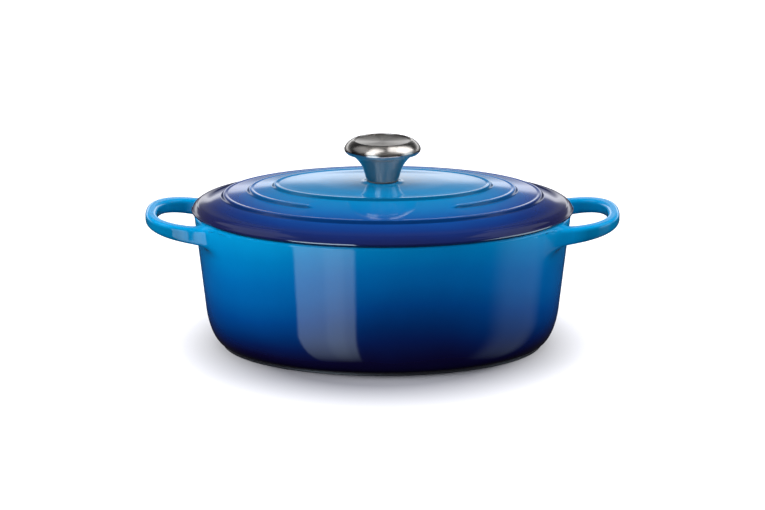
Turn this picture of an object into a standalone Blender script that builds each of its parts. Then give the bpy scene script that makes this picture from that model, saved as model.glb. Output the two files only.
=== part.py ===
"""Oval enamelled cast iron dutch oven with a stepped lid and a stainless steel knob.

Run with: blender --background --python part.py
Units are metres and +Z is up. The origin is on the table at the middle of the base, +X runs
along the long side, through both handles, and -Y is the front.

Every oval section of the pot and the lid keeps the same difference between its half-length and
its half-width, so one half-length names an oval. The profiles below are lists of
(half-length, height), and the round knob parts use (radius, height).
"""
import math

import bmesh
import bpy

MM = 0.001
GAP = 0.3 * MM                     # between neighbouring pieces that touch on the real object

# Ovals
OVAL_DIFFERENCE = 32.3 * MM        # half-length minus half-width
OVAL_SEGMENTS = 64
ROUND_SEGMENTS = 48

# Pot body
FOOT_HALF_LENGTH = 119.8 * MM
FOOT_HEIGHT = 1.8 * MM
FOOT_CHAMFER = 0.6 * MM
CORNER_LIFT = 0.3 * MM             # the corner starts this far above the foot's top
CORNER_START = -78.0               # degrees below level where the corner leaves the foot
CORNER_FOOT_STEP = 1.3 * MM        # the foot stands this far proud of the rounded corner
CORNER_TOP = 41.0 * MM             # height where the rounded corner meets the straight wall
CORNER_REACH = 15.0 * MM           # how far the corner curves in under the wall
WALL_SLOPE = 0.1107                # outward, per unit of height
WALL_MIDDLE = 70.0 * MM            # height of a ring half way up the straight wall
WALL_AT_CORNER = 133.4 * MM        # half-length at CORNER_TOP
RIM_HEIGHT = 101.2 * MM
RIM_RADIUS = 1.9 * MM
WALL_THICKNESS = 3.6 * MM
FLOOR_THICKNESS = 4.2 * MM
FLOOR_HALF_LENGTH = 108.0 * MM
RIM_INNER_BEVEL = 0.9 * MM
CLEARANCE_ABOVE = 6.0 * MM         # how far the cavity's cutter runs past the rim

# Loop handles
HANDLE_ROOT = 138.0 * MM           # where the loop's end curve starts
HANDLE_TIP = 175.9 * MM
HANDLE_HALF_WIDTH = 48.0 * MM
GRIP_TIP_THICKNESS = 8.6 * MM
GRIP_ARM_THICKNESS = 10.7 * MM
LOOP_POWER = 2.5                   # superellipse power of the loop seen from above
TIP_TOP = 103.7 * MM
TIP_BOTTOM = 95.1 * MM
TOP_SLOPE = 0.1025                 # the loop rises outwards
BOTTOM_SLOPE = 0.20
GRIP_EDGE_RADIUS = 2.8 * MM
ROOT_END = 106.0 * MM              # the loop's ends run this far in and are trimmed by the cavity
LOOP_STEPS = 15
# (inwards from HANDLE_ROOT, sideways from the loop's half-width): both sides of an arm's root
OUTER_ROOT = ((6.0 * MM, 0.9 * MM), (12.0 * MM, 3.4 * MM), (18.0 * MM, 8.5 * MM),
              (HANDLE_ROOT - ROOT_END, 14.0 * MM))
INNER_ROOT = ((2.5 * MM, -1.2 * MM), (4.5 * MM, -4.0 * MM), (7.0 * MM, -8.0 * MM),
              (HANDLE_ROOT - ROOT_END, -9.0 * MM))

# Lid
LID_HALF_LENGTH = 142.0 * MM
LID_REST = RIM_HEIGHT + GAP
LIP_UNDERSIDE = 102.3 * MM
SKIRT_HALF_LENGTH = 133.8 * MM
SKIRT_BOTTOM = 96.2 * MM
SKIRT_THICKNESS = 3.2 * MM
STEP_HALF_LENGTHS = (119.3 * MM, 100.4 * MM, 81.3 * MM)
STEP_FOOT_HEIGHTS = (114.0 * MM, 117.9 * MM, 121.8 * MM)
STEP_RISE = 1.6 * MM
STEP_RUN = 1.9 * MM
# (out from the step's crest or foot, up from the step's foot): crest pair, then foot pair
STEP_CREST = ((-1.2 * MM, STEP_RISE), (0.0, STEP_RISE - 0.4 * MM))
STEP_FOOT = ((-0.3 * MM, 0.3 * MM), (1.0 * MM, -0.15 * MM))
MIDDLE_STEP_GAP = 29.0             # degrees either side of the front where the middle step is absent
MIDDLE_STEP_FADE = 7.0             # degrees over which it rises to its full height
LID_THICKNESS = 3.6 * MM
# (in from the lid's edge, height): the shallow valley outside the last step
EDGE_VALLEY = ((12.5 * MM, 110.6 * MM), (6.5 * MM, 109.4 * MM))
EDGE_ROLL_CENTRE = 104.9 * MM
EDGE_ROLL_REACH = 4.2 * MM
EDGE_ROLL_RISE = 4.0 * MM
EDGE_ROLL_START = 78.0             # degrees above level
# (in from the lid's edge, height): under the rolled edge
LIP = ((0.9 * MM, LIP_UNDERSIDE + 0.6 * MM), (2.2 * MM, LIP_UNDERSIDE), (3.0 * MM, LID_REST))
# (in from the skirt's outer side, height): down the skirt and up its inner side
SKIRT = ((-0.8 * MM, LID_REST), (0.0, LID_REST - 1.0 * MM), (0.5 * MM, SKIRT_BOTTOM + 0.6 * MM),
         (1.2 * MM, SKIRT_BOTTOM), (SKIRT_THICKNESS - 0.8 * MM, SKIRT_BOTTOM),
         (SKIRT_THICKNESS + 1.5 * MM, LID_REST - 0.5 * MM),
         (SKIRT_THICKNESS + 6.5 * MM, 106.2 * MM))
UNDER_STEP_SHIFT = 6.0 * MM        # the underside follows each step this far further in
BOSS_TOP = 124.5 * MM
BOSS_RADIUS = 13.2 * MM
BOSS_FOOT_RADIUS = 24.0 * MM
BOSS_EDGE_DRAW = 0.5 * MM
SEAT_HEIGHT = 118.6 * MM           # flat underside that the screw's washer bears on
SEAT_RADIUS = 12.0 * MM
LID_BORE_RADIUS = 3.4 * MM
# (out from the seat, up from the seat): the thick pad round the seat
SEAT_PAD = ((14.0 * MM, 0.8 * MM), (1.0 * MM, 0.6 * MM), (0.0, 0.0))

# Knob
GASKET_THICKNESS = 0.7 * MM
GASKET_RADIUS = 11.8 * MM
STEM_BASE = BOSS_TOP + GASKET_THICKNESS + 2 * GAP
STEM_RADIUS = 12.0 * MM
KNOB_RADIUS = 28.3 * MM
KNOB_WIDEST = 149.6 * MM
KNOB_TOP = 155.7 * MM
BEAD_RADIUS = 3.6 * MM             # of the underside of the knob's widest edge
STEM_CHAMFER = 0.4 * MM
# (radius, height) up the knob's concave flank
KNOB_FLANK = ((12.9 * MM, 129.0 * MM), (13.9 * MM, 132.5 * MM), (15.3 * MM, 136.0 * MM),
              (17.6 * MM, 139.6 * MM), (20.4 * MM, 142.8 * MM), (23.6 * MM, 145.2 * MM))
SHOULDER_POWER = 1.75              # superellipse power of the knob's upper shoulder
DISH_RADIUS = 21.3 * MM
DISH_LIP = 0.5 * MM                # width of the narrow ring round the cap
DISH_LIP_DROP = 0.25 * MM
CAP_THICKNESS = 1.0 * MM
CAP_EDGE_DROP = 0.7 * MM           # the cap's edge lies this far below the knob's top
CAP_RINGS = 6
DISH_DEPTH = 1.6 * MM
CAP_SEAT = KNOB_TOP - DISH_DEPTH - CAP_THICKNESS - 0.2 * MM
CAP_LEDGE = 2.0 * MM
INSERT_RADIUS = 4.8 * MM
INSERT_FLANGE_RADIUS = 7.6 * MM
INSERT_FLANGE_THICKNESS = 1.6 * MM
INSERT_BOTTOM = STEM_BASE + 1.0 * MM
STEM_FLOOR = 134.0 * MM            # floor of the knob's hollow, which the insert's flange rests on
# (radius, height) down the inside of the knob's hollow head
KNOB_HOLLOW = ((23.4 * MM, 151.0 * MM), (24.0 * MM, 149.0 * MM), (19.6 * MM, 144.8 * MM),
               (14.4 * MM, 138.6 * MM), (12.2 * MM, STEM_FLOOR))

# Screw and washers
SCREW_RADIUS = 3.0 * MM
THREAD_BORE_RADIUS = SCREW_RADIUS + GAP
SCREW_LENGTH = 21.0 * MM
HEAD_RADIUS = 5.8 * MM
HEAD_HEIGHT = 3.4 * MM
HEAD_EDGE_RADIUS = 1.6 * MM
TIP_CHAMFER = 0.8 * MM
SLOT_WIDTH = 1.2 * MM
SLOT_DEPTH = 1.4 * MM
WASHER_BORE_RADIUS = 3.4 * MM
FLAT_WASHER_RADIUS = 8.0 * MM
FLAT_WASHER_THICKNESS = 1.4 * MM
LOCK_WASHER_RADIUS = 5.6 * MM
LOCK_WASHER_THICKNESS = 1.5 * MM
LOCK_WASHER_SPLIT = 1.0 * MM

BLUE_ENAMEL = ((0.01, 0.19, 0.47, 1.0), 0.12, 0.0)
LID_ENAMEL = ((0.02, 0.09, 0.33, 1.0), 0.12, 0.0)
STAINLESS = ((0.62, 0.60, 0.57, 1.0), 0.28, 1.0)
BRUSHED_CAP = ((0.66, 0.63, 0.59, 1.0), 0.35, 1.0)
BRASS = ((0.75, 0.58, 0.27, 1.0), 0.35, 1.0)
SILICONE = ((0.02, 0.02, 0.02, 1.0), 0.7, 0.0)
ZINC_STEEL = ((0.55, 0.56, 0.58, 1.0), 0.35, 1.0)
SPRING_STEEL = ((0.25, 0.25, 0.27, 1.0), 0.4, 1.0)


def clear_scene():
    """Remove every object, so the script can run in any open file."""
    for item in list(bpy.data.objects):
        bpy.data.objects.remove(item, do_unlink=True)


def material(name, look):
    """A plain Principled material from (colour, roughness, metallic)."""
    colour, roughness, metallic = look
    made = bpy.data.materials.new(name)
    made.use_nodes = True
    shader = made.node_tree.nodes["Principled BSDF"]
    shader.inputs["Base Color"].default_value = colour
    shader.inputs["Roughness"].default_value = roughness
    shader.inputs["Metallic"].default_value = metallic
    made.diffuse_color = colour
    return made


def add_object(name, mesh_builder, look=None, origin=(0.0, 0.0, 0.0)):
    """Turn a bmesh into a named object whose own origin is at the given point."""
    bmesh.ops.translate(mesh_builder, verts=mesh_builder.verts, vec=[-value for value in origin])
    bmesh.ops.recalc_face_normals(mesh_builder, faces=mesh_builder.faces)
    mesh = bpy.data.meshes.new(name)
    mesh_builder.to_mesh(mesh)
    mesh_builder.free()
    made = bpy.data.objects.new(name, mesh)
    made.location = origin
    bpy.context.scene.collection.objects.link(made)
    mesh.shade_smooth()
    mesh.set_sharp_from_angle(angle=math.radians(32.0))
    if look is not None:
        mesh.materials.append(material(name + "_look", look))
    return made


def guide(name, mesh_builder):
    """A hidden helper solid for a Boolean."""
    made = add_object(name, mesh_builder)
    made.hide_render = True
    made.display_type = 'WIRE'
    return made


def boolean(target, helper, operation):
    """Join a helper solid to the target, or cut it away."""
    step = target.modifiers.new(helper.name, 'BOOLEAN')
    step.operation = operation
    step.solver = 'EXACT'
    step.object = helper


def arc(centre_x, centre_z, radius_x, radius_z, start, end, steps):
    """Points on an arc of an ellipse, angles in degrees from +X towards +Z."""
    angles = [math.radians(start + (end - start) * i / steps) for i in range(steps + 1)]
    return [(centre_x + radius_x * math.cos(angle), centre_z + radius_z * math.sin(angle))
            for angle in angles]


def superellipse_quarter(corner, reach, rise, power, steps):
    """Points from +X round to +Z on a quarter superellipse about a corner point."""
    points = []
    for i in range(steps + 1):
        angle = 0.5 * math.pi * i / steps
        points.append((corner[0] + reach * abs(math.cos(angle)) ** (2.0 / power),
                       corner[1] + rise * abs(math.sin(angle)) ** (2.0 / power)))
    return points


def oval(half_length):
    """Half-length and half-width of the oval with this half-length."""
    return half_length, half_length - OVAL_DIFFERENCE


def loft(rings, segments, closed):
    """Skin a stack of ellipses (half-length, half-width, height) into a solid.

    A height can be a number, or a function of the angle round the oval. A closed stack returns
    to its first ring, which leaves a hole through the middle. An open one gets a flat cap at each
    end.
    """
    builder = bmesh.new()
    loops = []
    for half_length, half_width, height in rings:
        loop = []
        for i in range(segments):
            angle = 2.0 * math.pi * i / segments
            level = height(angle) if callable(height) else height
            point = (half_length * math.cos(angle), half_width * math.sin(angle), level)
            loop.append(builder.verts.new(point))
        loops.append(loop)
    pairs = list(zip(loops, loops[1:]))
    if closed:
        pairs.append((loops[-1], loops[0]))
    for lower, upper in pairs:
        for i in range(segments):
            j = (i + 1) % segments
            builder.faces.new((lower[i], lower[j], upper[j], upper[i]))
    if not closed:
        builder.faces.new(loops[0])
        builder.faces.new(loops[-1])
    return builder


def turned(profile, closed):
    """A round solid from (radius, height) points."""
    return loft([(radius, radius, height) for radius, height in profile], ROUND_SEGMENTS, closed)


def wall_half_length(height):
    """Outer half-length of the pot's straight wall at a height."""
    return WALL_AT_CORNER + WALL_SLOPE * (height - CORNER_TOP)


def pot_outside():
    """Foot, rounded corner, straight wall and the outer half of the rounded rim."""
    profile = [(FOOT_HALF_LENGTH - FOOT_CHAMFER, 0.0), (FOOT_HALF_LENGTH, FOOT_CHAMFER),
               (FOOT_HALF_LENGTH, FOOT_HEIGHT)]
    corner_start = FOOT_HALF_LENGTH - CORNER_FOOT_STEP
    corner_centre = WALL_AT_CORNER - CORNER_REACH
    rise = CORNER_TOP - FOOT_HEIGHT
    profile.append((corner_start, FOOT_HEIGHT + CORNER_LIFT))
    profile += arc(corner_centre, CORNER_TOP, CORNER_REACH, rise, CORNER_START, 0.0, 7)
    profile.append((wall_half_length(WALL_MIDDLE), WALL_MIDDLE))
    rim_start = RIM_HEIGHT - RIM_RADIUS
    profile += arc(wall_half_length(rim_start) - RIM_RADIUS, rim_start, RIM_RADIUS, RIM_RADIUS,
                   0.0, 90.0, 3)
    return loft([(*oval(a), z) for a, z in profile], OVAL_SEGMENTS, closed=False)


def pot_cavity():
    """The space inside the pot, run up past the rim."""
    wall_in = WALL_AT_CORNER - WALL_THICKNESS
    reach = wall_in - FLOOR_HALF_LENGTH
    profile = arc(FLOOR_HALF_LENGTH, CORNER_TOP, reach, CORNER_TOP - FLOOR_THICKNESS,
                  -90.0, 0.0, 7)
    for height in (WALL_MIDDLE, RIM_HEIGHT - RIM_RADIUS):
        profile.append((wall_half_length(height) - WALL_THICKNESS, height))
    mouth = wall_half_length(RIM_HEIGHT) - WALL_THICKNESS + RIM_INNER_BEVEL
    profile.append((mouth, RIM_HEIGHT))
    profile.append((mouth, RIM_HEIGHT + CLEARANCE_ABOVE))
    return loft([(*oval(a), z) for a, z in profile], OVAL_SEGMENTS, closed=False)


def loop_outline(half_width, tip, root):
    """One side of the loop seen from above, from the middle of its tip to its root.

    The end is a superellipse; the root is a short curve that flares into the pot's wall.
    """
    end = superellipse_quarter((HANDLE_ROOT, 0.0), tip - HANDLE_ROOT, half_width, LOOP_POWER,
                               LOOP_STEPS)
    return end + [(HANDLE_ROOT - inwards, half_width + sideways) for inwards, sideways in root]


def loop_section(outer, inner):
    """Rounded rectangle between an outer and an inner plan point, as (x, y, z) corners."""
    run = math.dist(outer, inner)
    direction = ((inner[0] - outer[0]) / run, (inner[1] - outer[1]) / run)
    along = 0.5 * (outer[0] + inner[0])
    top = TIP_TOP - TOP_SLOPE * (HANDLE_TIP - along)
    bottom = TIP_BOTTOM - BOTTOM_SLOPE * (HANDLE_TIP - along)
    edge = GRIP_EDGE_RADIUS
    corners = (arc(edge, bottom + edge, edge, edge, 180.0, 270.0, 2)
               + arc(run - edge, bottom + edge, edge, edge, 270.0, 360.0, 2)
               + arc(run - edge, top - edge, edge, edge, 0.0, 90.0, 2)
               + arc(edge, top - edge, edge, edge, 90.0, 180.0, 2))
    return [(outer[0] + direction[0] * reach, outer[1] + direction[1] * reach, height)
            for reach, height in corners]


def handle_loops():
    """Both loop handles, whose roots run through the wall."""
    inner_width = HANDLE_HALF_WIDTH - GRIP_ARM_THICKNESS
    outer = loop_outline(HANDLE_HALF_WIDTH, HANDLE_TIP, OUTER_ROOT)
    inner = loop_outline(inner_width, HANDLE_TIP - GRIP_TIP_THICKNESS, INNER_ROOT)
    half = [loop_section(o, i) for o, i in zip(outer, inner)]
    other_half = [[(x, -y, z) for x, y, z in section] for section in half[1:]]
    sections = list(reversed(other_half)) + half
    builder = bmesh.new()
    for side in (1.0, -1.0):
        loops = [[builder.verts.new((side * x, y, z)) for x, y, z in section]
                 for section in sections]
        for near, far in zip(loops, loops[1:]):
            for i in range(len(near)):
                j = (i + 1) % len(near)
                builder.faces.new((near[i], near[j], far[j], far[i]))
        builder.faces.new(loops[0])
        builder.faces.new(loops[-1])
    return builder


def make_pot():
    """Pot casting: body, base and both loop handles in one piece, enamelled inside and out."""
    pot = add_object("pot", pot_outside(), BLUE_ENAMEL)
    boolean(pot, guide("handle_guide", handle_loops()), 'UNION')
    boolean(pot, guide("cavity_guide", pot_cavity()), 'DIFFERENCE')
    return pot


def middle_step_share(angle):
    """How much of the middle step stands at an angle: none across the front, all elsewhere."""
    from_front = abs(math.remainder(angle + 0.5 * math.pi, 2.0 * math.pi))
    share = (math.degrees(from_front) - MIDDLE_STEP_GAP) / MIDDLE_STEP_FADE
    share = min(1.0, max(0.0, share))
    return share * share * (3.0 - 2.0 * share)


def middle_step_height(half_length, stepped):
    """Height of the lid near its middle step, which fades into a plain slope at the front."""
    inner, outer = STEP_HALF_LENGTHS[2], STEP_HALF_LENGTHS[0] - STEP_RUN
    inner_height, outer_height = STEP_FOOT_HEIGHTS[2], STEP_FOOT_HEIGHTS[0] + STEP_RISE
    slope = (outer_height - inner_height) / (outer - inner)
    plain = inner_height + slope * (half_length - inner)
    return lambda angle: plain + (stepped - plain) * middle_step_share(angle)


def lid_top_rings():
    """Rings of the lid's upper side, from the bore out to the rolled edge."""
    boss_edge = BOSS_RADIUS - BOSS_EDGE_DRAW
    rings = [(LID_BORE_RADIUS, LID_BORE_RADIUS, BOSS_TOP), (boss_edge, boss_edge, BOSS_TOP)]
    plateau = STEP_FOOT_HEIGHTS[2] + STEP_RISE
    rise = BOSS_TOP - plateau
    rings += [(radius, radius, height) for radius, height in
              arc(BOSS_FOOT_RADIUS, plateau + rise, BOSS_FOOT_RADIUS - BOSS_RADIUS, rise,
                  180.0, 270.0, 4)[1:]]
    for half_length, foot in reversed(list(zip(STEP_HALF_LENGTHS, STEP_FOOT_HEIGHTS))):
        crest = half_length - STEP_RUN
        step = [(crest + out, foot + up) for out, up in STEP_CREST]
        step += [(half_length + out, foot + up) for out, up in STEP_FOOT]
        if half_length == STEP_HALF_LENGTHS[1]:
            step = [(a, middle_step_height(a, z)) for a, z in step]
        rings += [(*oval(a), z) for a, z in step]
    edge = LID_HALF_LENGTH
    rings += [(*oval(edge - inwards), height) for inwards, height in EDGE_VALLEY]
    rings += [(*oval(a), z) for a, z in
              arc(edge - EDGE_ROLL_REACH, EDGE_ROLL_CENTRE, EDGE_ROLL_REACH, EDGE_ROLL_RISE,
                  EDGE_ROLL_START, 0.0, 4)]
    return rings


def lid_underside_rings():
    """Rings of the lid's underside, from the rolled edge in to the bore."""
    rings = [(*oval(LID_HALF_LENGTH - inwards), height) for inwards, height in LIP]
    rings += [(*oval(SKIRT_HALF_LENGTH - inwards), height) for inwards, height in SKIRT]
    for half_length, foot in zip(STEP_HALF_LENGTHS, STEP_FOOT_HEIGHTS):
        under = foot + STEP_RISE - LID_THICKNESS
        rings.append((*oval(half_length - UNDER_STEP_SHIFT), under))
    rings += [(SEAT_RADIUS + out, SEAT_RADIUS + out, SEAT_HEIGHT + up) for out, up in SEAT_PAD]
    rings.append((LID_BORE_RADIUS, LID_BORE_RADIUS, SEAT_HEIGHT))
    return rings


def make_lid():
    """Lid casting: three concentric steps, a boss for the knob and a skirt that drops in the pot."""
    rings = lid_top_rings() + lid_underside_rings()
    return add_object("lid", loft(rings, OVAL_SEGMENTS, closed=True), LID_ENAMEL)


def make_gasket():
    """Thin heat-resistant washer between the lid's boss and the knob's stem."""
    bottom = BOSS_TOP + GAP
    top = bottom + GASKET_THICKNESS
    profile = [(LID_BORE_RADIUS, bottom), (GASKET_RADIUS, bottom), (GASKET_RADIUS, top),
               (LID_BORE_RADIUS, top)]
    return add_object("knob_gasket", turned(profile, closed=True), SILICONE)


def make_knob_shell():
    """Stainless steel knob: solid flared stem, hollow head, and a seat for the dished cap."""
    stem_bore = INSERT_RADIUS + GAP
    outside = [(STEM_RADIUS - STEM_CHAMFER, STEM_BASE), (STEM_RADIUS, STEM_BASE + STEM_CHAMFER)]
    outside += KNOB_FLANK
    outside += arc(KNOB_RADIUS - BEAD_RADIUS, KNOB_WIDEST, BEAD_RADIUS, BEAD_RADIUS,
                   -60.0, -20.0, 2)
    lip = DISH_RADIUS + DISH_LIP
    outside += superellipse_quarter((lip, KNOB_WIDEST), KNOB_RADIUS - lip,
                                    KNOB_TOP - KNOB_WIDEST, SHOULDER_POWER, 6)
    outside += [(DISH_RADIUS, KNOB_TOP - DISH_LIP_DROP), (DISH_RADIUS, CAP_SEAT)]
    inside = [(DISH_RADIUS - CAP_LEDGE, CAP_SEAT)]
    inside += KNOB_HOLLOW
    inside += [(stem_bore, STEM_FLOOR), (stem_bore, STEM_BASE)]
    return add_object("knob_shell", turned(outside + inside, closed=True), STAINLESS)


def make_knob_cap():
    """Dished disc that closes the knob's head."""
    radius = DISH_RADIUS - GAP
    edge_top = KNOB_TOP - CAP_EDGE_DROP
    bottom = KNOB_TOP - DISH_DEPTH - CAP_THICKNESS + GAP
    profile = [(radius, bottom), (radius, edge_top)]
    dish = DISH_DEPTH - CAP_EDGE_DROP
    for i in range(1, CAP_RINGS):
        share = 1.0 - i / CAP_RINGS
        profile.append((radius * share, edge_top - dish * (1.0 - share * share)))
    return add_object("knob_cap", turned(profile, closed=False), BRUSHED_CAP)


def make_knob_insert():
    """Flanged threaded bush that the screw pulls down into the stem."""
    flange_bottom = STEM_FLOOR + GAP
    flange_top = flange_bottom + INSERT_FLANGE_THICKNESS
    profile = [(THREAD_BORE_RADIUS, INSERT_BOTTOM), (INSERT_RADIUS, INSERT_BOTTOM),
               (INSERT_RADIUS, flange_bottom), (INSERT_FLANGE_RADIUS, flange_bottom),
               (INSERT_FLANGE_RADIUS, flange_top), (THREAD_BORE_RADIUS, flange_top)]
    return add_object("knob_insert", turned(profile, closed=True), BRASS)


def make_flat_washer():
    """Flat washer under the lid."""
    top = SEAT_HEIGHT - GAP
    bottom = top - FLAT_WASHER_THICKNESS
    profile = [(WASHER_BORE_RADIUS, bottom), (FLAT_WASHER_RADIUS, bottom),
               (FLAT_WASHER_RADIUS, top), (WASHER_BORE_RADIUS, top)]
    return add_object("flat_washer", turned(profile, closed=True), ZINC_STEEL,
                      origin=(0.0, 0.0, top))


def make_lock_washer():
    """Split spring washer, square in section and cut through on one side."""
    top = SEAT_HEIGHT - FLAT_WASHER_THICKNESS - 2 * GAP
    bottom = top - LOCK_WASHER_THICKNESS
    middle = 0.5 * (WASHER_BORE_RADIUS + LOCK_WASHER_RADIUS)
    half_split = math.asin(0.5 * LOCK_WASHER_SPLIT / middle)
    sweep = 2.0 * math.pi - 2.0 * half_split
    builder = bmesh.new()
    loops = []
    for i in range(ROUND_SEGMENTS):
        angle = half_split + sweep * i / (ROUND_SEGMENTS - 1)
        corners = ((WASHER_BORE_RADIUS, bottom), (LOCK_WASHER_RADIUS, bottom),
                   (LOCK_WASHER_RADIUS, top), (WASHER_BORE_RADIUS, top))
        loops.append([builder.verts.new((radius * math.cos(angle), radius * math.sin(angle), z))
                      for radius, z in corners])
    for near, far in zip(loops, loops[1:]):
        for i in range(4):
            j = (i + 1) % 4
            builder.faces.new((near[i], near[j], far[j], far[i]))
    builder.faces.new(loops[0])
    builder.faces.new(loops[-1])
    return add_object("lock_washer", builder, SPRING_STEEL, origin=(0.0, 0.0, top))


def make_screw():
    """Slotted pan-head screw that holds the knob from inside the lid."""
    head_top = (SEAT_HEIGHT - FLAT_WASHER_THICKNESS - LOCK_WASHER_THICKNESS - 3 * GAP)
    head_bottom = head_top - HEAD_HEIGHT
    tip = head_top + SCREW_LENGTH
    edge = HEAD_EDGE_RADIUS
    profile = arc(HEAD_RADIUS - edge, head_bottom + edge, edge, edge, 270.0, 360.0, 3)
    profile += [(HEAD_RADIUS, head_top), (SCREW_RADIUS, head_top),
                (SCREW_RADIUS, tip - TIP_CHAMFER), (SCREW_RADIUS - TIP_CHAMFER, tip)]
    screw = add_object("knob_screw", turned(profile, closed=False), ZINC_STEEL,
                       origin=(0.0, 0.0, head_top))
    slot = bmesh.new()
    bmesh.ops.create_cube(slot, size=1.0)
    bmesh.ops.scale(slot, verts=slot.verts,
                    vec=(3.0 * HEAD_RADIUS, SLOT_WIDTH, 2.0 * SLOT_DEPTH))
    bmesh.ops.translate(slot, verts=slot.verts, vec=(0.0, 0.0, head_bottom))
    boolean(screw, guide("slot_guide", slot), 'DIFFERENCE')
    return screw


def main():
    """Build the dutch oven."""
    clear_scene()
    make_pot()
    make_lid()
    make_gasket()
    make_knob_shell()
    make_knob_cap()
    make_knob_insert()
    make_flat_washer()
    make_lock_washer()
    make_screw()


main()
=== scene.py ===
"""Looks of an oval enamelled cast iron dutch oven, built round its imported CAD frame.

Units are metres, +Z is up, +X runs through both handles and -Y is the front.
"""
import math

import bpy
import mathutils
import numpy as np
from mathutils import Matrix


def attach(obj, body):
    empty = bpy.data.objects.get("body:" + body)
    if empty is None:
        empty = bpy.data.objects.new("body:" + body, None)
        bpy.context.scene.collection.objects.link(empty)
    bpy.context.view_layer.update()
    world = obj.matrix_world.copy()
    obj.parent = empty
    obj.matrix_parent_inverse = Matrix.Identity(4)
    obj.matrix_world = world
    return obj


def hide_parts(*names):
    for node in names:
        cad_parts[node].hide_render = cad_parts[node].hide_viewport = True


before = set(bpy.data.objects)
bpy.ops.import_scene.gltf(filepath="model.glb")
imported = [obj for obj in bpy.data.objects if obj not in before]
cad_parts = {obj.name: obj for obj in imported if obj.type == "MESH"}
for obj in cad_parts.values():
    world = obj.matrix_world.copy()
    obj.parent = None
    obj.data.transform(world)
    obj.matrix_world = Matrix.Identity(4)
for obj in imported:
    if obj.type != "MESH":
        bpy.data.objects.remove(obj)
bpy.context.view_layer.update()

MM = 0.001


def mm(*points):
    """Points given in millimetres, in metres."""
    return [tuple(value * MM for value in point) for point in points]



# Ovals keep one difference between half-length and half-width, so the half-length names an oval.
OVAL_DIFFERENCE = 32.3 * MM
OVAL_SEGMENTS = 240
ROUND_SEGMENTS = 128

# Pot
FOOT = 119.8 * MM
FOOT_HEIGHT = 1.8 * MM
FOOT_ROUND = 0.8 * MM
SOLE_ROUND = 0.5 * MM
CORNER_TOP = 41.0 * MM
CORNER_REACH = 15.0 * MM
WALL_SLOPE = 0.1107
WALL_AT_CORNER = 133.4 * MM
RIM_HEIGHT = 101.2 * MM
RIM_RADIUS = 1.9 * MM
RIM_START = RIM_HEIGHT - RIM_RADIUS
RIM_INNER_RADIUS = 0.9 * MM
RIM_INNER_ROWS = 3                 # rows inside the rim that stay matt black
FOOT_MATT = 3.0 * MM               # the foot below this is matt black, as the rim is
WALL_THICKNESS = 3.6 * MM
FLOOR_THICKNESS = 4.2 * MM
FLOOR_HALF_LENGTH = 108.0 * MM

# Handles
HANDLE_ROOT = 138.0 * MM
HANDLE_TIP = 175.9 * MM
HANDLE_HALF_WIDTH = 48.0 * MM
GRIP_TIP_THICKNESS = 8.6 * MM
GRIP_ARM_THICKNESS = 10.7 * MM
LOOP_POWER = 2.5
TIP_TOP = 103.7 * MM
TIP_BOTTOM = 95.1 * MM
TOP_SLOPE = 0.1025
BOTTOM_SLOPE = 0.20
GRIP_EDGE = 2.8 * MM
ARM_FLARE = 0.06
BLEND = 9.0 * MM                   # reach of the fillet between handle and wall
FILLET_BOTTOM = 62.0 * MM          # the fillets lie above this height
FILLET_INNER = 90.0 * MM           # and further from the middle than this
HOLE_START, HOLE_END = 12.0, 39.0  # degrees round the oval that a handle's root takes up
HOLE_BOTTOM, HOLE_TOP = 75.0 * MM, 98.6 * MM
HOLE_ROWS = 12
LOOP_STATIONS = 44
ROOT_RINGS = 12

# Lid
LID_EDGE = 142.0 * MM
LID_REST = RIM_HEIGHT + 0.3 * MM
LIP_MIDDLE = 103.9 * MM
LIP_UNDERSIDE = 102.3 * MM
SKIRT = 133.8 * MM
SKIRT_BOTTOM = 96.2 * MM
SKIRT_THICKNESS = 3.2 * MM
SKIRT_ROWS = 4                     # rows where the lid rests on the rim that stay matt black
# (half-length, height) of the crown without its steps
CROWN = mm((0.0, 119.05), (40.0, 118.65), (60.0, 118.25), (79.0, 117.8), (81.3, 117.75),
           (100.4, 115.7), (119.3, 113.5), (125.0, 112.1), (128.5, 110.8), (131.3, 109.8),
           (134.0, 109.45), (136.3, 109.0), (138.0, 108.55), (142.0, 107.3))
CROWN_SOFTNESS = 3.5 * MM          # reach over which the crown's joins are smoothed
FULL_OVAL = 72.0 * MM              # inside this the rings turn gradually from oval to round
# (half-length of a step's foot, whether it runs all the way round)
STEPS = ((120.2 * MM, True), (100.9 * MM, False), (82.4 * MM, True))
STEP_RISE = 1.6 * MM
STEP_RUN = 2.6 * MM
BEAD_HEIGHT = 0.42 * MM            # a low rounded bead runs along the top of each step
BEAD_WIDTH = 3.4 * MM
MIDDLE_GAP = 29.0                  # degrees each side of the front without the middle step
MIDDLE_FADE = 7.0                  # degrees over which it comes in
LID_THICKNESS = 3.6 * MM
BOSS_TOP = 124.5 * MM
BOSS_RADIUS = 13.2 * MM
BOSS_FOOT_RADIUS = 17.0 * MM
SEAT_HEIGHT = 118.6 * MM
SEAT_RADIUS = 12.0 * MM
LID_BORE_RADIUS = 3.4 * MM


# ---------------------------------------------------------------- small geometry helpers
def arc(centre_a, centre_z, radius, start, end, steps, tall=None):
    """Points on an arc, angles in degrees from outwards towards up.

    An ellipse's arc has its upright radius as tall.
    """
    angle = np.radians(np.linspace(start, end, steps + 1))
    return [(centre_a + radius * c, centre_z + (tall or radius) * s)
            for c, s in zip(np.cos(angle), np.sin(angle))]


def line(start, end, steps):
    """Evenly spaced points from start to end, without the start."""
    return [tuple(np.array(start) + (np.array(end) - np.array(start)) * i / steps)
            for i in range(1, steps + 1)]


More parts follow.
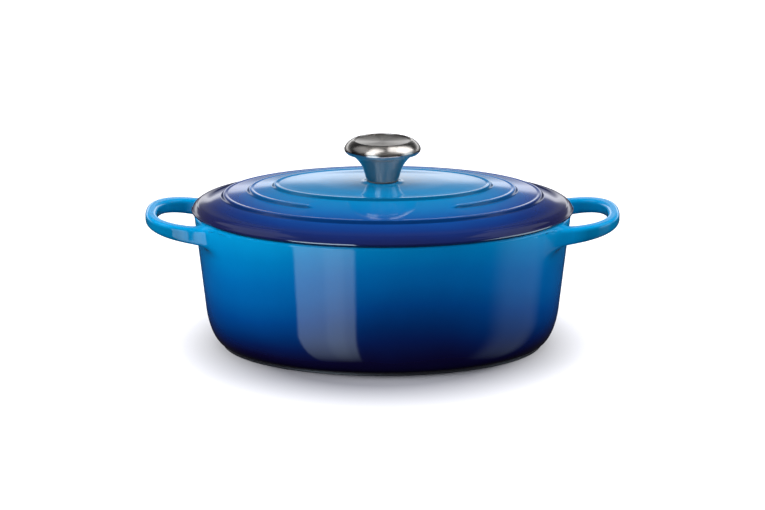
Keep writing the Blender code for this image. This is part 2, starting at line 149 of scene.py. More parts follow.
def smooth_curve(points, steps):
    """A Catmull-Rom curve through (radius, height) points."""
    given = np.array(points, float)
    padded = np.vstack([2 * given[0] - given[1], given, 2 * given[-1] - given[-2]])
    out = [tuple(given[0])]
    for i in range(1, len(padded) - 2):
        p0, p1, p2, p3 = padded[i - 1:i + 3]
        for t in np.linspace(0, 1, steps + 1)[1:]:
            value = 0.5 * (2 * p1 + (p2 - p0) * t + (2 * p0 - 5 * p1 + 4 * p2 - p3) * t ** 2
                           + (3 * p1 - p0 - 3 * p2 + p3) * t ** 3)
            out.append(tuple(value))
    return out


def smoothstep(value):
    """Zero to one with level ends."""
    t = np.clip(value, 0.0, 1.0)
    return t * t * t * (t * (6.0 * t - 15.0) + 10.0)


def new_object(name, data):
    """A new object, linked to the scene."""
    made = bpy.data.objects.new(name, data)
    bpy.context.scene.collection.objects.link(made)
    return made


class Builder:
    """Collects vertices and faces, then makes one closed, smooth mesh object."""

    def __init__(self):
        self.points = []
        self.count = 0
        self.faces = []
        self.slots = []

    def add(self, points):
        """Add an array of points and return their indices."""
        points = np.asarray(points, float).reshape(-1, 3)
        self.points.append(points)
        first = self.count
        self.count += len(points)
        return np.arange(first, self.count)

    def bridge(self, near, far, slot=0, skip=()):
        """Quads between two closed loops of indices, leaving the skipped columns open."""
        for column, quad in enumerate(zip(near, np.roll(near, -1), np.roll(far, -1), far)):
            if column not in skip:
                self.faces.append(tuple(map(int, quad)))
                self.slots.append(slot)

    def fan(self, loop, centre, slot=0):
        """Triangles from a closed loop to a centre point."""
        for a, b in zip(loop, np.roll(loop, -1)):
            self.faces.append((int(a), int(b), int(centre)))
            self.slots.append(slot)

    def make(self, name, materials):
        """The finished object."""
        mesh = bpy.data.meshes.new(name)
        used = sorted({index for face in self.faces for index in face})
        place = {index: at for at, index in enumerate(used)}
        faces = [tuple(place[index] for index in face) for face in self.faces]
        mesh.from_pydata(np.vstack(self.points)[used].tolist(), [], faces)
        for material in materials:
            mesh.materials.append(material)
        mesh.polygons.foreach_set("material_index", self.slots)
        mesh.shade_smooth()
        mesh.validate()
        return new_object(name, mesh)


def angles_round(count):
    """Angles round a full turn."""
    return np.linspace(0.0, 2.0 * np.pi, count, endpoint=False)


def ellipse(half_length, half_width, height, angle):
    """Points of one elliptical ring. The height may differ from point to point."""
    ones = np.ones_like(angle)
    return np.stack([half_length * np.cos(angle), half_width * np.sin(angle), height * ones], 1)


def oval(half_length, height, angle):
    """Points of one ring of the object's own family of ovals."""
    return ellipse(half_length, half_length - OVAL_DIFFERENCE, height, angle)


def turned(name, profile, materials, closed, segments=ROUND_SEGMENTS):
    """A round solid from (radius, height) points that run up its outer side.

    A closed profile leaves a bore. An open one starts and ends on the axis.
    """
    angle = angles_round(segments)
    build = Builder()
    loops = []
    for radius, height in profile:
        if np.max(radius) < 1e-7:
            loops.append(build.add([(0.0, 0.0, height)]))
        else:
            loops.append(build.add(ellipse(radius, radius, height, angle)))
    pairs = list(zip(loops, loops[1:]))
    if closed:
        pairs.append((loops[-1], loops[0]))
    for near, far in pairs:
        if len(near) == 1:
            build.fan(far[::-1], near[0])
        elif len(far) == 1:
            build.fan(near, far[0])
        else:
            build.bridge(near, far)
    made = build.make(name, materials)
    made.data.set_sharp_from_angle(angle=math.radians(40.0))
    return made


def rounded(points, radius, steps=3):
    """A closed outline with each corner cut by a small curve."""
    given = np.array(points, float)
    out = []
    for before, corner, after in zip(np.roll(given, 1, 0), given, np.roll(given, -1, 0)):
        to_before, to_after = before - corner, after - corner
        first = corner + to_before * min(0.45, radius / np.linalg.norm(to_before))
        last = corner + to_after * min(0.45, radius / np.linalg.norm(to_after))
        for t in np.linspace(0.0, 1.0, steps + 1):
            point = first * (1 - t) ** 2 + corner * 2 * t * (1 - t) + last * t ** 2
            out.append(tuple(point))
    return out


def ring_outline(bore, radius, bottom, top, softness):
    """Section of a flat ring with softened corners."""
    return rounded([(bore, bottom), (radius, bottom), (radius, top), (bore, top)], softness)


# ---------------------------------------------------------------- the pot's outer surface
def wall_half_length(height):
    """Outer half-length of the straight wall at a height."""
    return WALL_AT_CORNER + WALL_SLOPE * (height - CORNER_TOP)


def oval_through(x, y):
    """Half-length of the oval through each point, found by Newton steps."""
    run = np.hypot(x, y)
    a = run + OVAL_DIFFERENCE * (np.abs(y) / (run + 1e-9)) ** 2
    for _ in range(8):
        b = a - OVAL_DIFFERENCE
        value = (x / a) ** 2 + (y / b) ** 2 - 1.0
        slope = -2.0 * x ** 2 / a ** 3 - 2.0 * y ** 2 / b ** 3
        a = np.maximum(a - value / slope, OVAL_DIFFERENCE + 1 * MM)
    return a


def wall_distance(p):
    """Signed distance from the pot's outer wall and rim, positive outside."""
    a, z = oval_through(p[:, 0], p[:, 1]), p[:, 2]
    side = (a - wall_half_length(z)) / math.hypot(1.0, WALL_SLOPE)
    centre = wall_half_length(RIM_START) - RIM_RADIUS
    over = np.hypot(np.maximum(a - centre, 0.0), z - RIM_START) - RIM_RADIUS
    return np.where(z > RIM_START, over, side)


def superellipse_distance(x, y, reach, half_width):
    """First-order distance outside a handle outline seen from above."""
    u = np.maximum(x - HANDLE_ROOT, 0.0) / reach
    width = half_width + ARM_FLARE * np.maximum(HANDLE_ROOT - x, 0.0)
    v = np.abs(y) / width
    n = LOOP_POWER
    s = (u ** n + v ** n + 1e-12) ** (1.0 / n)
    du = (u / s) ** (n - 1.0) / reach
    dv = (v / s) ** (n - 1.0) / width
    return (s - 1.0) / np.sqrt(du ** 2 + dv ** 2 + 1e-9)


def handle_distance(p):
    """Signed distance from the loop handle on the +X side."""
    x, y, z = p.T
    outer = superellipse_distance(x, y, HANDLE_TIP - HANDLE_ROOT, HANDLE_HALF_WIDTH)
    inner = superellipse_distance(x, y, HANDLE_TIP - HANDLE_ROOT - GRIP_TIP_THICKNESS,
                                  HANDLE_HALF_WIDTH - GRIP_ARM_THICKNESS)
    plan = np.maximum(outer, -inner)
    top = TIP_TOP - TOP_SLOPE * (HANDLE_TIP - x)
    bottom = TIP_BOTTOM - BOTTOM_SLOPE * (HANDLE_TIP - x)
    level = np.abs(z - 0.5 * (top + bottom)) - 0.5 * (top - bottom)
    q_plan, q_level = plan + GRIP_EDGE, level + GRIP_EDGE
    outside = np.hypot(np.maximum(q_plan, 0.0), np.maximum(q_level, 0.0))
    return outside + np.minimum(np.maximum(q_plan, q_level), 0.0) - GRIP_EDGE


def casting_distance(p):
    """Wall and handle joined by a soft fillet. Works on the +X half."""
    wall, handle = wall_distance(p), handle_distance(p)
    h = np.maximum(BLEND - np.abs(wall - handle), 0.0) / BLEND
    return np.minimum(wall, handle) - h * h * BLEND * 0.25


def settle(points):
    """Move points of the +X half onto the casting's surface."""
    p = points.copy()
    step = 0.02 * MM
    for _ in range(9):
        value = casting_distance(p)
        slope = np.stack([(casting_distance(p + step * axis) - casting_distance(p - step * axis))
                          / (2.0 * step) for axis in np.eye(3)], 1)
        move = np.clip(value / np.maximum((slope ** 2).sum(1), 0.05), -1.5 * MM, 1.5 * MM)
        p -= slope * move[:, None]
    return p


def outer_profile():
    """(half-length, height) from the foot up to the inner edge of the rim."""
    points = [(FOOT - FOOT_ROUND, 0.0)]
    points += arc(FOOT - FOOT_ROUND, FOOT_ROUND, FOOT_ROUND, -60.0, 0.0, 3)
    points += [(FOOT, FOOT_HEIGHT - SOLE_ROUND)]
    points += arc(FOOT - SOLE_ROUND, FOOT_HEIGHT - SOLE_ROUND, SOLE_ROUND, 30.0, 90.0, 2)
    rise = CORNER_TOP - FOOT_HEIGHT
    join = math.atan(-WALL_SLOPE * rise / CORNER_REACH)
    join_height = CORNER_TOP + rise * math.sin(join)
    centre = wall_half_length(join_height) - CORNER_REACH * math.cos(join)
    points += arc(centre, CORNER_TOP, CORNER_REACH, -84.0, math.degrees(join), 34, tall=rise)
    points += [(wall_half_length(z), z) for z in np.linspace(join_height, HOLE_BOTTOM, 18)[1:]]
    points += [(wall_half_length(z), z)
               for z in np.linspace(HOLE_BOTTOM, HOLE_TOP, HOLE_ROWS + 1)[1:]]
    points += arc(wall_half_length(RIM_START) - RIM_RADIUS, RIM_START, RIM_RADIUS, 0.0, 90.0, 9)
    return points


def inner_profile():
    """(half-length, height) from the rim's inner edge down to the edge of the flat floor."""
    rim_in = wall_half_length(RIM_HEIGHT) - WALL_THICKNESS
    points = arc(rim_in + RIM_INNER_RADIUS, RIM_HEIGHT - RIM_INNER_RADIUS, RIM_INNER_RADIUS,
                 90.0, 180.0, 4)
    points += [(wall_half_length(z) - WALL_THICKNESS, z)
               for z in np.linspace(RIM_HEIGHT - 3 * MM, CORNER_TOP, 12)]
    wall_in = WALL_AT_CORNER - WALL_THICKNESS
    points += arc(FLOOR_HALF_LENGTH, CORNER_TOP, wall_in - FLOOR_HALF_LENGTH, 0.0, -90.0, 20,
                  tall=CORNER_TOP - FLOOR_THICKNESS)[1:]
    return points


def root_boundary(rows, columns):
    """(row, column) places round a handle's hole in the wall's grid, with (across, up) of each."""
    path = [(rows[0], c) for c in columns]
    path += [(r, columns[-1]) for r in rows[1:]]
    path += [(rows[-1], c) for c in columns[-2::-1]]
    path += [(r, columns[0]) for r in rows[-2:0:-1]]
    row, column = np.array(path).T
    across = 2.0 * (column - columns[0]) / (columns[-1] - columns[0]) - 1.0
    up = 2.0 * (row - rows[0]) / (rows[-1] - rows[0]) - 1.0
    return path, across, up


def loop_section(across, up, station):
    """Points of one section of the +X handle's +Y half, from 0 at the tip to 1 at the root.

    across runs from -1 on the inner side to 1 on the outer side, up from -1 to 1.
    """
    angle = 0.5 * math.pi * station
    along = math.cos(angle) ** (2.0 / LOOP_POWER)
    side = math.sin(angle) ** (2.0 / LOOP_POWER)
    reach = HANDLE_TIP - HANDLE_ROOT
    inner_reach, inner_width = reach - GRIP_TIP_THICKNESS, HANDLE_HALF_WIDTH - GRIP_ARM_THICKNESS
    outer = np.array((HANDLE_ROOT + reach * along, HANDLE_HALF_WIDTH * side))
    inner = np.array((HANDLE_ROOT + inner_reach * along, inner_width * side))
    share = (0.5 * (across + 1.0))[:, None]
    plan = inner + (outer - inner) * share
    top = TIP_TOP - TOP_SLOPE * (HANDLE_TIP - plan[:, 0])
    bottom = TIP_BOTTOM - BOTTOM_SLOPE * (HANDLE_TIP - plan[:, 0])
    height = bottom + (top - bottom) * 0.5 * (up + 1.0)
    return np.column_stack([plan, height])


def wall_ring(half_length, height, angle):
    """One ring of the wall, moved onto the handles' fillets where it comes near them."""
    ring = oval(half_length, height, angle)
    if height <= FILLET_BOTTOM:
        return ring
    mirror = np.where(ring[:, :1] < 0.0, [[-1.0, 1.0, 1.0]], 1.0)
    return np.where(np.abs(ring[:, :1]) > FILLET_INNER, settle(ring * mirror) * mirror, ring)


def close_flat(build, edge, half_length, height, slot, upwards):
    """Fill an oval loop with flat rings round a centre point, facing up or down."""
    angle = angles_round(OVAL_SEGMENTS)
    for share in (0.8, 0.6, 0.4, 0.2, 0.06):
        ring = build.add(ellipse(half_length * share, (half_length - OVAL_DIFFERENCE) * share,
                                 height, angle))
        build.bridge(*((edge, ring) if upwards else (ring, edge)), slot)
        edge = ring
    centre = build.add([(0.0, 0.0, height)])[0]
    build.fan(edge if upwards else edge[::-1], centre, slot)


def make_pot(materials):
    """The pot casting in one closed mesh: body, rim, cavity and both blended handles."""
    enamel, bare, inside = range(3)
    angle = angles_round(OVAL_SEGMENTS)
    build = Builder()
    outer = outer_profile()
    loops = [build.add(wall_ring(a, z, angle)) for a, z in outer]
    heights = [z for _, z in outer]
    first_row = min(i for i, z in enumerate(heights) if z > HOLE_BOTTOM - 0.01 * MM)
    rows = range(first_row, first_row + HOLE_ROWS + 1)
    columns = range(round(HOLE_START * OVAL_SEGMENTS / 360.0),
                    round(HOLE_END * OVAL_SEGMENTS / 360.0) + 1)
    half_turn = OVAL_SEGMENTS // 2
    holes = {c for c in range(OVAL_SEGMENTS)
             if min(c % half_turn, half_turn - 1 - c % half_turn) in columns[:-1]}
    for row, (near, far) in enumerate(zip(loops, loops[1:])):
        # the foot and the top of the rim are bare matt bands
        matt = heights[row] < FOOT_MATT or heights[row] > RIM_HEIGHT - 0.04 * RIM_RADIUS
        build.bridge(near, far, bare if matt else enamel, holes if row in rows[:-1] else ())
    inner_loops = [build.add(oval(a, z, angle)) for a, z in inner_profile()]
    for index, (near, far) in enumerate(zip([loops[-1]] + inner_loops, inner_loops)):
        build.bridge(near, far, bare if index < RIM_INNER_ROWS else inside)
    close_flat(build, inner_loops[-1], FLOOR_HALF_LENGTH, FLOOR_THICKNESS, inside, True)
    close_flat(build, loops[0], outer[0][0], 0.0, enamel, False)
    add_handles(build, loops, rows, columns, enamel)
    return build.make("pot_casting", materials)


def add_handles(build, loops, rows, columns, slot):
    """Sweep each loop handle between its two holes in the wall."""
    path, across, up = root_boundary(rows, columns)

    def hole(mirror_x, mirror_y):
        """Indices round the hole on one corner of the pot."""
        start = OVAL_SEGMENTS // 2 if mirror_x else 0
        sign = 1 if mirror_x == mirror_y else -1
        return np.array([loops[r][(start + sign * c) % OVAL_SEGMENTS] for r, c in path])

    wall_loop = np.vstack(build.points)[hole(False, False)]
    stations = np.linspace(0.0, 1.0, LOOP_STATIONS + 1)
    sweep = [settle(loop_section(across, up, s)) for s in stations]
    last = loop_section(across, up, 1.0)
    shares = [i / ROOT_RINGS for i in range(1, ROOT_RINGS)]
    sweep += [settle(last + (wall_loop - last) * share) for share in shares]
    for mirror_x in (False, True):
        side = -1.0 if mirror_x else 1.0
        back = [build.add(s * (side, 1.0, 1.0)) for s in sweep] + [hole(mirror_x, False)]
        front = [build.add(s * (side, -1.0, 1.0)) for s in sweep[1:]] + [hole(mirror_x, True)]
        front.insert(0, back[0])
        for chain, turned_over in ((back, not mirror_x), (front, mirror_x)):
            for near, far in zip(chain, chain[1:]):
                build.bridge(*((far, near) if turned_over else (near, far)), slot)


# ---------------------------------------------------------------- the lid
def ground_height(a):
    """Height of the lid's crown without its steps: straight runs with smoothed joins."""
    shares = np.arange(-6, 7) / 7.0
    weight = 1.0 - shares ** 2
    values = [np.interp(a + CROWN_SOFTNESS * share, *zip(*CROWN)) for share in shares]
    return np.tensordot(weight / weight.sum(), np.array(values), 1)


def middle_share(angle):
    """How much of the middle step stands at an angle: none across the front."""
    from_front = np.abs(np.remainder(angle + 1.5 * np.pi, 2.0 * np.pi) - np.pi)
    return smoothstep((np.degrees(from_front) - MIDDLE_GAP) / MIDDLE_FADE)


def crown_height(a, angle):
    """Height of the lid's upper side at an oval and an angle."""
    height = ground_height(np.full_like(angle, a))
    for half_length, everywhere in STEPS:
        crest = half_length - STEP_RUN
        step = (STEP_RISE + BEAD_HEIGHT) * smoothstep((half_length - a) / STEP_RUN)
        step = step - BEAD_HEIGHT * (1.0 - smoothstep((a - crest + BEAD_WIDTH) / BEAD_WIDTH))
        if not everywhere:
            inner, outer = STEPS[2][0], STEPS[0][0] - STEP_RUN
            plain = STEP_RISE * np.clip((outer - a) / (outer - inner), 0.0, 1.0)
            step = plain + (step - plain) * middle_share(angle)
        height = height + step
    return height


def lid_rings(angle):
    """Rings of the lid from the bore's top out over the crown, and back under it to the bore."""
    plateau = float(crown_height(0.0, angle)[0])
    rise = BOSS_TOP - plateau
    rings = [(r, r, BOSS_TOP) for r in np.linspace(LID_BORE_RADIUS, BOSS_RADIUS - 1.0 * MM, 5)]
    rings += [(r, r, z) for r, z in arc(BOSS_RADIUS - 1.0 * MM, BOSS_TOP - 0.4 * MM, 0.4 * MM,
                                        90.0, 30.0, 2)]
    foot_fillet = arc(BOSS_FOOT_RADIUS, plateau + rise, BOSS_FOOT_RADIUS - BOSS_RADIUS, 188.0,
                      270.0, 8, tall=rise)
    rings += [(r, r, z) for r, z in foot_fillet]
    for share in np.linspace(0.0, 1.0, 15)[1:]:
        half_length = BOSS_FOOT_RADIUS + (FULL_OVAL - BOSS_FOOT_RADIUS) * share
        half_width = BOSS_FOOT_RADIUS + (FULL_OVAL - OVAL_DIFFERENCE - BOSS_FOOT_RADIUS) * share
        rings.append((half_length, half_width, crown_height(FULL_OVAL * share, angle)))
    # one ring each millimetre, and five on and beside the steps
    spots = set(np.arange(FULL_OVAL / MM + 1.0, 138.0, 1.0))
    for half_length, _ in STEPS:
        spots |= set(np.round(half_length / MM + np.arange(-6.4, 1.0, 0.2), 3))
    for spot in sorted(spots):
        a = spot * MM
        rings.append((a, a - OVAL_DIFFERENCE, crown_height(a, angle)))
    edge_top = float(crown_height(137.5 * MM, angle)[0])
    edge = smooth_curve([(LID_EDGE - 4.6 * MM, edge_top - 0.25 * MM),
                         (LID_EDGE - 3.3 * MM, 107.7 * MM), (LID_EDGE - 1.75 * MM, 106.35 * MM),
                         (LID_EDGE - 0.55 * MM, 104.85 * MM)], 5)
    edge += arc(LID_EDGE - 1.9 * MM, LIP_MIDDLE, 1.9 * MM, 20.0, -90.0, 12,
                tall=LIP_MIDDLE - LIP_UNDERSIDE)
    rest = LID_REST
    edge += [(LID_EDGE - 2.9 * MM, LIP_UNDERSIDE - 0.1 * MM), (LID_EDGE - 3.2 * MM, rest)]
    edge += line((LID_EDGE - 3.2 * MM, rest), (SKIRT + 1.0 * MM, rest), 3)
    edge += arc(SKIRT + 1.0 * MM, rest - 1.0 * MM, 1.0 * MM, 90.0, 180.0, 4)[1:]
    edge += line((SKIRT, rest - 1.0 * MM), (SKIRT - 0.5 * MM, SKIRT_BOTTOM + 1.2 * MM), 3)
    edge += arc(SKIRT - 1.6 * MM, SKIRT_BOTTOM + 1.1 * MM, 1.1 * MM, -10.0, -170.0, 8)
    inside = SKIRT - SKIRT_THICKNESS
    edge += smooth_curve([(inside, SKIRT_BOTTOM + 2.5 * MM), (inside - 1.5 * MM, rest),
                          (inside - 5.0 * MM, 105.0 * MM), (inside - 11.0 * MM, 107.6 * MM)], 5)
    rings += [(a, a - OVAL_DIFFERENCE, z) for a, z in edge]
    for a in np.linspace(114.0 * MM, 74.0 * MM, 18):
        under = crown_height(a + 3.0 * MM, angle * 0.0 + math.pi * 0.5) - LID_THICKNESS
        rings.append((a, a - OVAL_DIFFERENCE, under))
    under = float(crown_height(FULL_OVAL - 2.0 * MM, angle)[0]) - LID_THICKNESS
    wide = SEAT_RADIUS + 8.0 * MM
    for share in np.linspace(0.0, 1.0, 10)[:-1]:
        half_length = FULL_OVAL + (wide - FULL_OVAL) * share
        half_width = half_length - OVAL_DIFFERENCE * (1.0 - share)
        rings.append((half_length, half_width, under + 0.6 * MM * share))
    pad = smooth_curve([(wide, under + 0.6 * MM), (SEAT_RADIUS + 3.0 * MM, under + 0.3 * MM),
                        (SEAT_RADIUS + 0.5 * MM, SEAT_HEIGHT + 0.3 * MM),
                        (SEAT_RADIUS - 0.4 * MM, SEAT_HEIGHT)], 4)
    rings += [(r, r, z) for r, z in pad]
    rings += [(r, r, SEAT_HEIGHT) for r in (8.0 * MM, LID_BORE_RADIUS)]
    return rings


def make_lid(materials):
    """The lid casting in one closed mesh."""
    enamel, bare, inside = range(3)
    angle = angles_round(OVAL_SEGMENTS)
    build = Builder()
    rings = lid_rings(angle)
    loops = [build.add(ellipse(a, b, z, angle)) for a, b, z in rings]
    seat = min(i for i, (_, _, z) in enumerate(rings) if np.max(z) <= LID_REST + 0.01 * MM)
    for index, (near, far) in enumerate(zip(loops, loops[1:] + loops[:1])):
        slot = enamel if index < seat else (bare if index < seat + SKIRT_ROWS else inside)
        build.bridge(far, near, slot)
    return build.make("lid_casting", materials)


# ---------------------------------------------------------------- the knob and its fastening
GAP = 0.3 * MM
GASKET_THICKNESS = 0.7 * MM
GASKET_RADIUS = 11.8 * MM
STEM_BASE = BOSS_TOP + GASKET_THICKNESS + 2 * GAP
STEM_RADIUS = 12.0 * MM
KNOB_FLANK = mm((12.05, 126.4), (12.9, 129.0), (13.9, 132.5), (15.3, 136.0), (17.6, 139.6),
                (20.4, 142.8), (23.6, 145.2), (26.5, 146.48))
KNOB_HOLLOW = mm((23.4, 151.0), (24.0, 149.0), (19.6, 144.8), (14.4, 138.6), (12.2, 134.0))
KNOB_RADIUS = 28.3 * MM
KNOB_WIDEST = 149.1 * MM
KNOB_TOP = 155.7 * MM
BEAD_RADIUS = 3.6 * MM
SHOULDER_POWER = 1.5
DISH_RADIUS = 20.7 * MM
DISH_LIP = 0.5 * MM
CAP_THICKNESS = 1.0 * MM
DISH_DEPTH = 1.6 * MM
CAP_SEAT = KNOB_TOP - DISH_DEPTH - CAP_THICKNESS - 0.2 * MM
CAP_EDGE_DROP = 0.5 * MM
INSERT_RADIUS = 4.8 * MM
INSERT_FLANGE_RADIUS = 7.6 * MM
INSERT_FLANGE_THICKNESS = 1.6 * MM
STEM_FLOOR = 134.0 * MM
THREAD_BORE_RADIUS = 3.3 * MM
WASHER_BORE_RADIUS = 3.4 * MM
FLAT_WASHER_RADIUS = 8.0 * MM
FLAT_WASHER_THICKNESS = 1.4 * MM
LOCK_WASHER_RADIUS = 5.6 * MM
LOCK_WASHER_THICKNESS = 1.5 * MM
LOCK_WASHER_SPLIT = 1.0 * MM
SCREW_RADIUS = 3.0 * MM
THREAD_DEPTH = 0.45 * MM
THREAD_PITCH = 1.0 * MM
SCREW_LENGTH = 21.0 * MM
HEAD_RADIUS = 5.8 * MM
HEAD_HEIGHT = 3.4 * MM
SLOT_WIDTH = 1.2 * MM
SLOT_DEPTH = 1.37 * MM


def make_knob_shell(material):
    """Stainless knob: flared stem, hollow head and the seat of its cap."""
    bore = INSERT_RADIUS + GAP
    lip = DISH_RADIUS + DISH_LIP
    profile = [(bore, STEM_BASE), (8.0 * MM, STEM_BASE)]
    profile += arc(STEM_RADIUS - 0.5 * MM, STEM_BASE + 0.5 * MM, 0.5 * MM, -90.0, -5.0, 4)
    profile += smooth_curve(KNOB_FLANK, 6)
    profile += arc(KNOB_RADIUS - BEAD_RADIUS, KNOB_WIDEST, BEAD_RADIUS, -56.0, -4.0, 10)
    for turn in np.radians(np.linspace(0.0, 90.0, 23)):
        profile.append((lip + (KNOB_RADIUS - lip) * abs(math.cos(turn)) ** (2.0 / SHOULDER_POWER),
                        KNOB_WIDEST + (KNOB_TOP - KNOB_WIDEST)
                        * abs(math.sin(turn)) ** (2.0 / SHOULDER_POWER)))
    profile += arc(DISH_RADIUS + 0.3 * MM, KNOB_TOP - 0.32 * MM, 0.3 * MM, 100.0, 180.0, 4)
    profile += line(profile[-1], (DISH_RADIUS, CAP_SEAT), 2)
    profile += [(DISH_RADIUS - 2.0 * MM, CAP_SEAT)]
    profile += smooth_curve(KNOB_HOLLOW, 4)
    profile += [(bore, STEM_FLOOR)]
    return turned("knob_body", profile, [material], closed=True)


def make_knob_cap(material):
    """Dished disc that closes the knob's head."""
    radius = DISH_RADIUS - GAP
    edge_top = KNOB_TOP - CAP_EDGE_DROP
    bottom = CAP_SEAT + 0.5 * MM
    profile = [(0.0, bottom), (radius * 0.5, bottom), (radius - 0.2 * MM, bottom),
               (radius, bottom + 0.2 * MM)]
    profile += arc(radius - 0.35 * MM, edge_top - 0.35 * MM, 0.35 * MM, 0.0, 80.0, 4)
    dish = DISH_DEPTH - CAP_EDGE_DROP
    for share in np.linspace(0.97, 0.0, 30):
        profile.append((radius * share, edge_top - dish * (1.0 - share ** 2.4)))
    return turned("knob_dish", profile, [material], closed=False)


def make_gasket(material):
    """Thin washer between boss and stem."""
    bottom = BOSS_TOP + GAP
    outline = ring_outline(LID_BORE_RADIUS, GASKET_RADIUS, bottom, bottom + GASKET_THICKNESS,
                           0.25 * MM)
    return turned("stem_gasket", outline, [material], closed=True)


def make_insert(material):
    """Flanged, knurled and threaded bush inside the stem."""
    angle = angles_round(ROUND_SEGMENTS)
    knurl = 0.12 * MM * np.abs(np.sin(16.0 * angle))
    low, flange = STEM_BASE + 1.0 * MM, STEM_FLOOR + GAP
    top = flange + INSERT_FLANGE_THICKNESS
    profile = [(THREAD_BORE_RADIUS, low), (INSERT_RADIUS - 0.3 * MM, low),
               (INSERT_RADIUS - knurl, low + 0.3 * MM), (INSERT_RADIUS - knurl, flange - 0.6 * MM),
               (INSERT_RADIUS - 0.2 * MM, flange - 0.3 * MM), (INSERT_RADIUS - 0.2 * MM, flange),
               (INSERT_FLANGE_RADIUS - 0.2 * MM, flange),
               (INSERT_FLANGE_RADIUS, flange + 0.2 * MM), (INSERT_FLANGE_RADIUS, top - 0.2 * MM),
               (INSERT_FLANGE_RADIUS - 0.2 * MM, top), (THREAD_BORE_RADIUS + 0.3 * MM, top)]
    for z in np.arange(top - 0.25 * MM, low + 0.2 * MM, -0.25 * MM):
        phase = 2.0 * math.pi * z / THREAD_PITCH - angle
        profile.append((THREAD_BORE_RADIUS + 0.2 * MM * (1.0 + np.sin(phase)), z))
    return turned("stem_bush", profile, [material], closed=True)


def make_flat_washer(material):
    """Stamped flat washer with softened edges."""
    top = SEAT_HEIGHT - GAP
    outline = ring_outline(WASHER_BORE_RADIUS, FLAT_WASHER_RADIUS, top - FLAT_WASHER_THICKNESS,
                           top, 0.3 * MM)
    return turned("plain_washer", outline, [material], closed=True)


def make_lock_washer(material):
    """Split spring washer: one coil, cut through, whose ends stand slightly apart."""
    top = SEAT_HEIGHT - FLAT_WASHER_THICKNESS - 2 * GAP
    spring = 0.25 * MM
    thick = LOCK_WASHER_THICKNESS - spring
    bottom = top - thick - 0.5 * spring
    middle = 0.5 * (WASHER_BORE_RADIUS + LOCK_WASHER_RADIUS)
    half_split = math.asin(0.5 * LOCK_WASHER_SPLIT / middle)
    outline = ring_outline(WASHER_BORE_RADIUS, LOCK_WASHER_RADIUS, 0.0, thick, 0.2 * MM)
    build = Builder()
    loops = []
    for angle in np.linspace(half_split, 2.0 * math.pi - half_split, ROUND_SEGMENTS):
        rise = bottom + spring * (angle / (2.0 * math.pi) - 0.5)
        loops.append(build.add([(r * math.cos(angle), r * math.sin(angle), z + rise)
                                for r, z in outline]))
    for near, far in zip(loops, loops[1:]):
        build.bridge(far, near)
    for loop in (loops[0], loops[-1][::-1]):
        centre = build.add(np.vstack(build.points)[loop].mean(0))[0]
        build.fan(loop, centre)
    made = build.make("spring_washer", [material])
    made.data.set_sharp_from_angle(angle=math.radians(40.0))
    return made


def make_screw(material):
    """Slotted pan-head screw with a cut thread."""
    angle = angles_round(ROUND_SEGMENTS // 2)
    head_top = SEAT_HEIGHT - FLAT_WASHER_THICKNESS - LOCK_WASHER_THICKNESS - 3 * GAP
    head_bottom = head_top - HEAD_HEIGHT
    tip = head_top + SCREW_LENGTH
    edge = 1.6 * MM
    profile = [(0.0, head_bottom)]
    profile += arc(HEAD_RADIUS - edge, head_bottom + edge, edge, -90.0, 0.0, 8)
    profile += arc(HEAD_RADIUS - 0.3 * MM, head_top - 0.3 * MM, 0.3 * MM, 0.0, 90.0, 3)
    profile += [(SCREW_RADIUS, head_top), (SCREW_RADIUS, head_top + 2.0 * MM)]
    for z in np.arange(head_top + 2.2 * MM, tip - 0.9 * MM, 0.125 * MM):
        phase = 2.0 * math.pi * z / THREAD_PITCH - angle
        depth = THREAD_DEPTH * min(1.0, (z - head_top - 2.0 * MM) / (1.2 * MM))
        profile.append((SCREW_RADIUS - depth * 0.5 * (1.0 + np.sin(phase)), z))
    profile += [(SCREW_RADIUS - 0.55 * MM, tip - 0.5 * MM), (SCREW_RADIUS - 0.9 * MM, tip),
                (0.0, tip)]
    made = turned("slotted_screw", profile, [material], closed=False,
                  segments=ROUND_SEGMENTS // 2)
    cutter_mesh = bpy.data.meshes.new("slot_cutter")
    corners = [(x, y, z) for x in (-2 * HEAD_RADIUS, 2 * HEAD_RADIUS)
               for y in (-0.5 * SLOT_WIDTH, 0.5 * SLOT_WIDTH)
               for z in (head_bottom - SLOT_DEPTH, head_bottom + SLOT_DEPTH)]
    cutter_mesh.from_pydata(corners, [], [(0, 1, 3, 2), (4, 6, 7, 5), (0, 4, 5, 1), (2, 3, 7, 6),
                                          (0, 2, 6, 4), (1, 5, 7, 3)])
    cutter = new_object("slot_cutter", cutter_mesh)
    cut = made.modifiers.new("slot", 'BOOLEAN')
    cut.operation, cut.solver, cut.object = 'DIFFERENCE', 'EXACT', cutter
    bpy.context.view_layer.update()
    finished = bpy.data.meshes.new_from_object(
        made.evaluated_get(bpy.context.evaluated_depsgraph_get()))
    made.modifiers.clear()
    made.data = finished
    bpy.data.objects.remove(cutter, do_unlink=True)
    return made


# ---------------------------------------------------------------- materials
def srgb(red, green, blue):
    """A linear colour from 0-255 display values."""
    shares = np.array((red, green, blue)) / 255.0
    return tuple(float(v) for v in np.where(shares <= 0.04045, shares / 12.92,
                                            ((shares + 0.055) / 1.055) ** 2.4))


